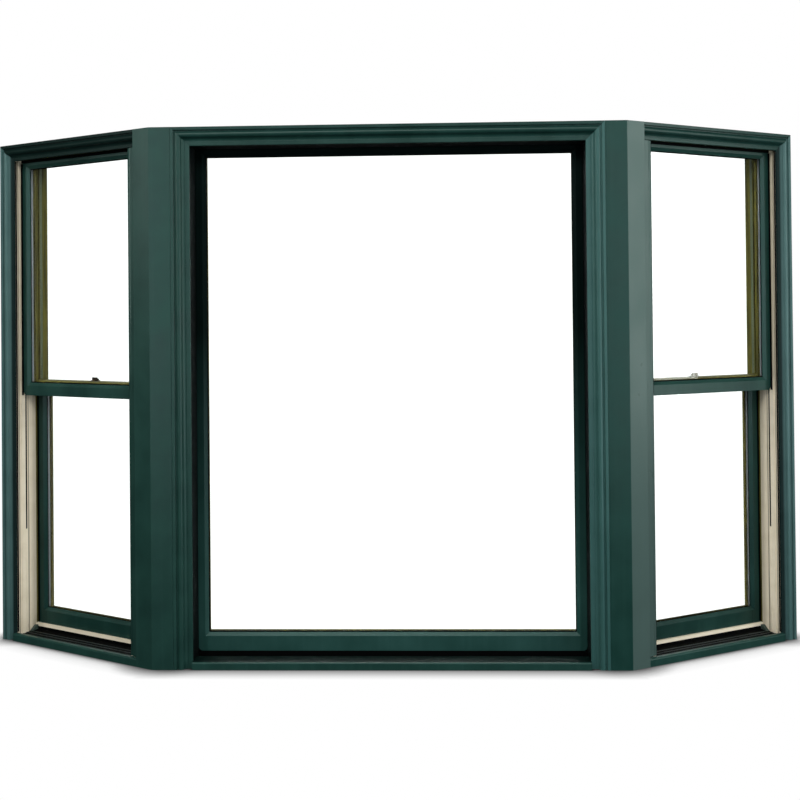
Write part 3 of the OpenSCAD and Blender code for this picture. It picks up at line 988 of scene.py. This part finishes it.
@dataclass
class SashLock(Assembly):
    """The cam lock on the meeting rail, in place of its plain solid.

    Args:
        at: its middle on top of the rail: e, d and z.
    """

    at: Triple
    base: Point = (16.4, 7.1)    # half a length and half a width, as are cap and lever
    cap: Point = (11.6, 6.1)
    lever: Point = (10.4, 3.0)
    lever_off: float = 3.0
    base_h: float = 2.6
    cap_z: Point = (2.4, 7.4)
    lever_z: Point = (7.2, 10.9)
    edge: float = 0.7
    screw: float = 2.4
    screw_pitch: float = 23.0

    def stadium(self, size: Point, off: float = 0.0) -> list[Point]:
        """Gives a stadium's outline.

        Args:
            size: half its length and half its width.
            off: how far it lies off the lock's middle.

        Returns:
            Its (e, d) points.
        """
        length, width = size
        turns = [math.pi * i / 8 for i in range(9)]
        right = [(off + length - width + width * math.sin(a), -width * math.cos(a)) for a in turns]
        left = [(off - length + width - width * math.sin(a), width * math.cos(a)) for a in turns]
        return [(self.at[0] + x, self.at[1] + y) for x, y in right + left]

    def build(self) -> None:
        """Casts the lock and drives its two screws."""
        e, d, z = self.at
        cast = self.mould()
        for outline, (foot, top) in (
            (self.stadium(self.base), (0.0, self.base_h)), (self.stadium(self.cap), self.cap_z),
            (self.stadium(self.lever, self.lever_off), self.lever_z),
        ):
            cast.prism(outline, Axis.UP, z + foot, z + top)
        finish = self.finishes.wear(BRONZE if self.side is Side.LEFT else CAST_ZINC)
        piece = cast.build(f"{self.name}_sash_lock_cast", finish, "bronze_metal", self.edge, 3)
        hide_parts(f"{self.name}_sash_lock")
        self.rows.grow(self.rows.studs, {
            "Count": 2, "Start": (e - self.screw_pitch / 2, d, z + self.base_h),
            "Step": (self.screw_pitch, 0, 0), "Turn": (0, 0, 0), "Radius": self.screw,
        }, self.side, f"{self.name}_lock_screws", self.finishes.wear(ZINC), "zinc_screw")


@dataclass
class SideWindow(Assembly):
    """A double-hung side window."""

    near: float = 91.5
    far: float = 551.5
    head: float = 1408.0
    upper: Light = Light("upper_sash", (116.0, 527.0), (752.0, 1383.0), 44.0)
    lower: Light = Light("lower_sash", (123.0, 520.0), (81.0, 720.5), 95.0)
    lock_at: Triple = (321.5, 112.5, 757.5)
    trough: tuple[Point, Point] = ((17.0, 10.0), (85.0, 17.0))
    skin: float = 0.6
    turn_up: float = 9.0
    trough_rib: float = 1.8
    trough_pitch: float = 13.0
    slot_d: Point = (49.0, 55.0)
    slot_end: float = 316.0
    rib_foot: float = 26.0
    ribs: tuple[Rib, ...] = (Rib("front", 22.0, 1.6, 1407.0), Rib("middle", 30.0, 1.0, 1407.0),
                             Rib("back", 62.0, 1.0, 713.0, 2))
    # black strips: pile seals, and painted shade in the gaps beside the liners and under the casing's lip
    seals: tuple[Strip, ...] = (Strip(2.6, 0.05, (17.1, 20.6), (23.0, 1403.0)),
                                Strip(1.0, 0.05, (37.0, 43.8), (715.0, 1399.0)),
                                Strip(4.6, 0.05, (92.2, 94.8), (37.0, 714.0)))
    # a black strip deep in the liner's open slot: painted shade
    slot_shade_strip: Strip = Strip(-1.2, -7.5, (49.1, 54.9), (318.0, 1403.0))
    # a black strip in the groove of the wooden track: painted shade
    groove_shade_strip: Strip = Strip(-0.8, -5.8, (104.1, 106.9), (760.0, 1396.0))
    balance: Strip = Strip(0.4, -0.1, (110.0, 119.0), (760.0, 1396.0))

    def dress_nodes(self) -> None:
        """Gives the unit's CAD nodes their finishes."""
        side = self.side
        # The lower sash cladding, the head casing and the casing jambs take copies of the enamel with painted
        # shade and painted light.
        for node, finish in (
            ("sill", GREEN_ENAMEL), ("upper_sash_cladding", GREEN_ENAMEL),
            ("lower_sash_cladding", DARK_SHADE_ENAMEL), ("casing_jamb", JAMB_LIT_SHADED_ENAMEL),
            ("casing_head", HEAD_SHADE_ENAMEL if side is Side.LEFT else DARK_SHADE_ENAMEL),
            ("sill_strip", STRIP_VINYL), ("outer_liner", TRACK_VINYL), ("inner_liner", TRACK_VINYL),
        ):
            self.dress(node, finish, side)
        for node, grain in (("outer_jamb", Grain.UPRIGHT), ("inner_jamb", Grain.UPRIGHT),
                            ("head_jamb", Grain.LEVEL)):
            self.dress(node, PINE, side, grain)
        for light in (self.upper, self.lower):
            self.dress(f"{light.name}_wood", PINE, side, Grain.FRAMED, light.middle, light.half)
        for node in ("upper_glass", "lower_glass"):
            self.dress(node, GLASS)

    def line_with(self, mould: Mould, *strips: Strip) -> None:
        """Adds strips to both sides of the window.

        Args:
            mould: where they are collected.
            strips: the strips.
        """
        for face, sign in ((self.far, -1), (self.near, 1)):
            for strip in strips:
                ends = sorted((face + sign * strip.out, face + sign * strip.back))
                mould.box((ends[0], ends[1]), strip.d, strip.z)

    def trough_shade_liner(self) -> None:
        """Lays the ribbed liner in the sill's trough, its black being painted shade."""
        (d0, z0), (d1, z1) = self.trough
        sheet = self.mould()
        sheet.prism([(d0 + 0.3, z0), (d1 - 0.1, z1), (d1 - 0.1, z1 + self.turn_up),
                     (d1 - 0.7, z1 + self.turn_up), (d1 - 0.7, z1 + self.skin), (d0 + 0.3, z0 + self.skin)],
                    Axis.ALONG, self.near + 0.3, self.far - 0.3)
        sheet.build(f"{self.name}_trough_liner", self.finishes.wear(BLACK_SEAL_AND_SHADE), "black_gasket")
        slope = (z1 - z0) / (d1 - d0)
        first, last = 6.0, 2.0
        self.rows.grow(self.rows.rods, {
            "Count": int((d1 - d0 - first - last) / self.trough_pitch),
            "Start": (self.near + 0.5, d0 + first, z0 + self.skin + first * slope),
            "Step": (0, self.trough_pitch, self.trough_pitch * slope),
            "Run": (self.far - self.near - 1, 0, 0), "Radius": self.trough_rib,
        }, self.side, f"{self.name}_trough_ribs", self.finishes.wear(RIB_RUBBER), "black_gasket")

    def track_ribs(self) -> None:
        """Runs the raised ribs and the filler strip down both vinyl liners."""
        vinyl = self.finishes.wear(TRACK_VINYL, self.side)
        for which, face, sign in (("outer", self.far, -1), ("inner", self.near, 1)):
            for rib in self.ribs:
                self.rows.grow(self.rows.rods, {
                    "Count": rib.count, "Start": (face, rib.d, self.rib_foot), "Step": (0, 10.0, 0),
                    "Run": (0, 0, rib.head - self.rib_foot), "Radius": rib.radius,
                }, self.side, f"{self.name}_{which}_liner_rib_{rib.name}", vinyl, "beige_vinyl")
            filler = self.mould()
            d0, d1 = self.slot_d[0] - 0.8, self.slot_d[1] + 0.8
            middle, half = (d0 + d1) / 2, (d1 - d0) / 2
            top = [(middle + half * math.cos(a), self.slot_end + half * math.sin(a))
                   for a in (math.pi * i / 8 for i in range(9))]
            filler.prism([(d0, 20.0), (d1, 20.0), *top], Axis.ALONG, face, face + sign * 1.4)
            filler.build(f"{self.name}_{which}_track_filler", vinyl, "beige_vinyl", 0.4)

    def sill_blocks(self) -> None:
        """Sets the moulded blocks that close the trough at both ends."""
        d, z = self.trough[1]
        blocks = self.mould()
        for e in ((self.near + 0.4, self.near + 10), (self.far - 10, self.far - 0.4)):
            outline = [(d - 26, z - 2), (d - 0.4, z - 2), (d - 0.4, z + 13), (d - 8, z + 13)]
            blocks.prism(outline, Axis.ALONG, *e)
        blocks.build(f"{self.name}_sill_blocks", self.finishes.wear(BLOCK), "beige_vinyl", 0.8)

    def fit_seals_and_gap_shade(self) -> None:
        """Fits the black strips round the sashes, which stand for pile seals and paint the shade in the gaps,
        the black strips of painted shade in the slots, and the track's cover.
        """
        black = self.finishes.wear(BLACK_SEAL_AND_SHADE)
        seals, slots, cover = self.mould(), self.mould(), self.mould()
        self.line_with(seals, *self.seals)
        seals.box((self.near + 0.4, self.far - 0.4), (40.0, 43.7), (self.head - 8, self.head - 0.3))
        light = self.upper
        front = light.d + light.clad
        seals.box((light.e[0] + 0.3, light.e[1] - 0.3), (front - 1.8, front - 0.1),
                  (light.z[0] + 0.05, light.z[0] + 3.2))
        seals.build(f"{self.name}_pile_seals", black, "black_gasket", 0.3)
        self.line_with(slots, self.slot_shade_strip)
        slots.build(f"{self.name}_slot_inserts", black, "black_gasket")
        cover.box((83.2, self.near + 0.4), (15.4, 16.9), (22.4, self.head - 0.4))
        # On the right, the track cover takes the enamel with a painted reflection.
        enamel = self.finishes.wear(CORNER_REFLECTION_ENAMEL if self.side is Side.RIGHT else GREEN_ENAMEL, self.side)
        cover.build(f"{self.name}_inner_track_cover", enamel, "green_aluminium", 0.3)

    def inner_track(self) -> None:
        """Paints shade into the groove of the lower sash's wooden track with a black strip and seats its
        balance strip.
        """
        dark, strips = self.mould(), self.mould()
        self.line_with(dark, self.groove_shade_strip)
        self.line_with(strips, self.balance)
        dark.build(f"{self.name}_track_grooves", self.finishes.wear(BLACK_SEAL_AND_SHADE), "black_gasket")
        strips.build(f"{self.name}_balance_strips", self.finishes.wear(BALANCE), "beige_vinyl", 0.15)

    def joint_lines(self) -> None:
        """Draws the hairline joints where the sash faces are butted together."""
        lines = self.mould()
        light = self.lower
        for e in light.e:
            lines.box((e - 0.2, e + 0.2), (light.d - 0.05, light.d + 0.3), (37.0, light.z[0] - 9.5))
        lines.build(f"{self.name}_lower_sash_joints", self.finishes.wear(BLACK_SEAL_AND_SHADE), "black_gasket")

    def build(self) -> None:
        """Dresses the unit and builds its pieces."""
        self.dress_nodes()
        self.trough_shade_liner()
        self.track_ribs()
        self.sill_blocks()
        self.joint_lines()
        self.fit_seals_and_gap_shade()
        self.inner_track()
        SashLock(self.plan, self.finishes, self.rows, self.side, self.lock_at).build()
        for light in (self.upper, self.lower):
            Glazing(self.plan, self.finishes, self.rows, self.side, light).build()


@dataclass
class CentreWindow(Assembly):
    """The fixed centre window."""

    light: Light = Light("sash", (-502.0, 502.0), (76.5, 1380.5), 85.0)
    lip: float = 530.0
    foot: float = 27.5
    ramp_end: float = 43.0

    def build(self) -> None:
        """Dresses the unit and builds its pieces."""
        side, light = self.side, self.light
        # The head casing, right leg, sill, sash cladding and stops take copies of the enamel with painted
        # shade and painted reflection.
        for node, finish in (
            ("casing_head", DARK_SHADE_ENAMEL), ("casing_left", GREEN_ENAMEL), ("casing_right", LEG_REFLECTION_ENAMEL),
            ("sill", SILL_SHADE_ENAMEL), ("sash_cladding", RECESS_SHADE_ENAMEL), ("head_stop", REVEAL_SHADE_ENAMEL),
            ("left_stop", REVEAL_SHADE_ENAMEL), ("right_stop", REVEAL_SHADE_ENAMEL),
        ):
            self.dress(node, finish, side)
        for node, grain in (("left_jamb", Grain.UPRIGHT), ("right_jamb", Grain.UPRIGHT),
                            ("head_jamb", Grain.LEVEL)):
            self.dress(node, PINE, side, grain)
        self.dress("sash_wood", PINE, side, Grain.FRAMED, light.middle, light.half)
        self.dress("glass", GLASS)
        Glazing(self.plan, self.finishes, self.rows, side, light).build()
        self.sill_shade_sheet()

    def sill_shade_sheet(self) -> None:
        """Paints shade into the trough under the sash and the gap behind it with a black sheet."""
        lining = self.mould()
        front, back = self.ramp_end, self.light.d
        lining.prism([(front + 0.1, 10.1), (back - 0.1, 12.1), (back - 0.1, self.foot - 0.4),
                      (back - 1.6, self.foot - 0.8), (back - 1.6, 13.0), (front + 1.0, 11.0),
                      (front + 1.0, 24.0), (front + 0.1, 24.6)], Axis.ALONG, -self.lip + 0.3, self.lip - 0.3)
        lining.build("centre_sill_lining", self.finishes.wear(BLACK_SEAL_AND_SHADE), "black_gasket")


@dataclass
class Corner(Assembly):
    """A bent corner cover and the post behind it."""

    def build(self) -> None:
        """Dresses the corner's CAD nodes."""
        self.dress("corner_cover", CORNER_REFLECTION_ENAMEL if self.side is Side.RIGHT else GREEN_ENAMEL, self.side)
        self.dress("corner_post", PINE, self.side, Grain.UPRIGHT)


# ---- studio --------------------------------------------------------------


@dataclass(frozen=True)
class Softbox:
    """A rectangular soft lamp that points at a target."""

    name: str
    place: Triple
    target: Triple
    size: Point
    power: float
    tint: str = "#ffffff"

    def build(self) -> None:
        """Hangs the lamp."""
        lamp = bpy.data.lights.new(self.name, "AREA")
        lamp.shape = "RECTANGLE"
        lamp.size, lamp.size_y = self.size
        lamp.energy = self.power
        lamp.color = linear(self.tint)[:3]
        holder = bpy.data.objects.new(self.name, lamp)
        holder.location = self.place
        aim = Vector(self.target) - Vector(self.place)
        holder.rotation_euler = aim.to_track_quat("-Z", "Y").to_euler()
        bpy.context.scene.collection.objects.link(holder)


def straight_through(tree: bpy.types.NodeTree) -> bpy.types.NodeSocket:
    """Tells rays that the eye sends straight through glass from rays that bounced before it.

    Args:
        tree: a material's or the world's tree.

    Returns:
        1 for a ray that has only passed glass, else 0.
    """
    path = add(tree, "ShaderNodeLightPath")
    bounced = add(tree, "ShaderNodeMath", {
        0: path.outputs["Diffuse Depth"], 1: path.outputs["Glossy Depth"],
    }, operation="ADD")
    clean = add(tree, "ShaderNodeMath", {0: bounced.outputs[0], 1: 0.5}, operation="LESS_THAN")
    return add(tree, "ShaderNodeMath", {
        0: path.outputs["Is Transmission Ray"], 1: clean.outputs[0],
    }, operation="MULTIPLY").outputs[0]


@dataclass
class Studio:
    """Floor, backdrop light, lamps and camera.

    Args:
        front: y of the bay's front plane, in metres.
    """

    front: float
    ambient: float = 0.07
    floor_half: float = 30.0
    # shadow_reach and shadow_power shape the painted contact shadow; the band fields shape its darker band
    # along the centre unit.
    shadow_reach: float = 0.08
    shadow_power: float = 3.4
    behind_glass: float = 1.3
    band: float = 0.085
    band_half: float = 0.63
    band_depth: float = 0.36
    band_end: float = 0.04
    eye: Triple = (0.1382, -3.2606, 0.9348)
    yaw: float = -1.97       # degrees, as are pitch and roll
    pitch: float = 0.566
    roll: float = -0.539
    lens: float = 51.76
    rise: float = -0.1177

    def world(self) -> None:
        """Makes a white backdrop that lights the bay only weakly."""
        world = bpy.data.worlds.new("studio")
        bpy.context.scene.world = world
        world.use_nodes = True
        tree = world.node_tree
        tree.nodes.clear()
        path = add(tree, "ShaderNodeLightPath")
        weak = add(tree, "ShaderNodeBackground", {"Color": linear("#dfe8ee"), "Strength": self.ambient})
        plain = add(tree, "ShaderNodeBackground", {"Color": (1, 1, 1, 1), "Strength": 1.0})
        glazed = add(tree, "ShaderNodeBackground", {"Color": (1, 1, 1, 1), "Strength": self.behind_glass})
        seen = add(tree, "ShaderNodeMixShader", {
            0: path.outputs["Is Camera Ray"], 1: weak.outputs[0], 2: plain.outputs[0],
        })
        through = add(tree, "ShaderNodeMixShader", {
            0: straight_through(tree), 1: seen.outputs[0], 2: glazed.outputs[0],
        })
        add(tree, "ShaderNodeOutputWorld", {"Surface": through.outputs[0]})

    def contact(self, tree: bpy.types.NodeTree) -> bpy.types.NodeSocket:
        """Gives the painted contact shadow along the foot of the centre unit.

        Args:
            tree: the floor's material tree.

        Returns:
            1 in the open, less in the shadow.
        """
        place = add(tree, "ShaderNodeTexCoord").outputs["Object"]
        parts = add(tree, "ShaderNodeSeparateXYZ", {"Vector": place})
        ahead = add(tree, "ShaderNodeMath", {0: parts.outputs["Y"], 1: self.front}, operation="SUBTRACT")
        away = add(tree, "ShaderNodeMath", {0: ahead.outputs[0]}, operation="ABSOLUTE")
        fade = add(tree, "ShaderNodeMapRange", {
            "Value": away.outputs[0], "From Max": self.band, "To Min": self.band_depth, "To Max": 1.0,
        }, interpolation_type="SMOOTHSTEP")
        across = add(tree, "ShaderNodeMath", {0: parts.outputs["X"]}, operation="ABSOLUTE")
        end = add(tree, "ShaderNodeMapRange", {
            "Value": across.outputs[0], "From Min": self.band_half - self.band_end,
            "From Max": self.band_half + self.band_end,
        })
        return add(tree, "ShaderNodeMath", {
            0: fade.outputs["Result"], 1: end.outputs["Result"],
        }, operation="MAXIMUM").outputs[0]

    def floor(self) -> None:
        """Lays a white floor with a painted contact shadow where the bay stands on it."""
        half = self.floor_half
        mesh = bpy.data.meshes.new("floor")
        mesh.from_pydata([(-half, -half, 0), (half, -half, 0), (half, half, 0), (-half, half, 0)], [],
                         [(0, 1, 2, 3)])
        ground = bpy.data.objects.new("floor", mesh)
        bpy.context.scene.collection.objects.link(ground)
        material, tree = new_material("white_floor")
        open_sky = add(tree, "ShaderNodeAmbientOcclusion", {"Distance": self.shadow_reach}, samples=16)
        soft = add(tree, "ShaderNodeMath", {
            0: open_sky.outputs["AO"], 1: self.shadow_power,
        }, operation="POWER")
        shade = add(tree, "ShaderNodeMath", {0: soft.outputs[0], 1: self.contact(tree)}, operation="MINIMUM")
        path = add(tree, "ShaderNodeLightPath")
        glazed = add(tree, "ShaderNodeMath", {
            0: straight_through(tree), 1: self.behind_glass, 2: path.outputs["Is Camera Ray"],
        }, operation="MULTIPLY_ADD")
        strength = add(tree, "ShaderNodeMath", {0: glazed.outputs[0], 1: self.ambient}, operation="MAXIMUM")
        lit = add(tree, "ShaderNodeEmission", {
            "Color": shade.outputs[0], "Strength": strength.outputs[0],
        })
        add(tree, "ShaderNodeOutputMaterial", {"Surface": lit.outputs[0]})
        mesh.materials.append(material)
        ground.visible_diffuse = False
        ground.visible_glossy = False
        ground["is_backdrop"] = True

    def lamps(self) -> None:
        """Hangs the softboxes."""
        middle = (0.0, 0.0, 0.7)
        for box in (
            Softbox("key", (-0.2, -2.9, 3.1), middle, (2.6, 1.2), 78),
            Softbox("right_wall", (3.3, -1.3, 1.4), middle, (1.0, 2.2), 40),
            Softbox("right_low", (2.6, -2.4, 0.25), (0.7, 0.0, 0.3), (0.8, 0.8), 20, "#e4eeff"),
            Softbox("left_wall", (-3.6, -1.8, 2.1), middle, (0.8, 1.8), 40),
            Softbox("left_strip", (-1.70, -3.3, 1.1), middle, (0.28, 2.2), 20, "#e8eef6"),
            Softbox("right_strip", (1.36, -3.3, 1.1), middle, (0.28, 2.2), 20, "#e8eef6"),
            Softbox("back", (0.0, 3.4, 2.6), middle, (3.0, 1.4), 60),
        ):
            box.build()

    def camera(self) -> None:
        """Sets the camera a little right of the middle, at two thirds of the bay's height."""
        yaw, pitch, roll = (math.radians(angle) for angle in (self.yaw, self.pitch, self.roll))
        ahead = Vector((math.sin(yaw) * math.cos(pitch), math.cos(yaw) * math.cos(pitch), math.sin(pitch)))
        right = Vector((math.cos(yaw), -math.sin(yaw), 0.0))
        up = right.cross(ahead)
        tilted_right = right * math.cos(roll) + up * math.sin(roll)
        tilted_up = tilted_right.cross(ahead)
        lens = bpy.data.cameras.new("camera")
        lens.sensor_width = 36.0
        lens.lens = self.lens
        lens.shift_y = self.rise
        holder = bpy.data.objects.new("camera", lens)
        turn = Matrix((tilted_right, tilted_up, -ahead)).transposed().to_4x4()
        holder.matrix_world = Matrix.Translation(self.eye) @ turn
        bpy.context.scene.collection.objects.link(holder)
        bpy.context.scene.camera = holder

    def build(self) -> None:
        """Sets up the whole studio."""
        bpy.context.scene.view_settings.view_transform = "Standard"
        self.world()
        self.floor()
        self.lamps()
        self.camera()


def main() -> None:
    """Builds the bay's looks in order."""
    logging.basicConfig(level=logging.INFO, format="%(name)s %(message)s")
    cad_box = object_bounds()
    plan = Plan(cad_box[0].y)
    Studio(plan.front).build()
    shared = (plan, Finishes(plan), Repeater(plan))
    CentreWindow(*shared, Side.CENTRE).build()
    for side in (Side.LEFT, Side.RIGHT):
        Corner(*shared, side).build()
        SideWindow(*shared, side).build()


if __name__ == "__main__":
    main()
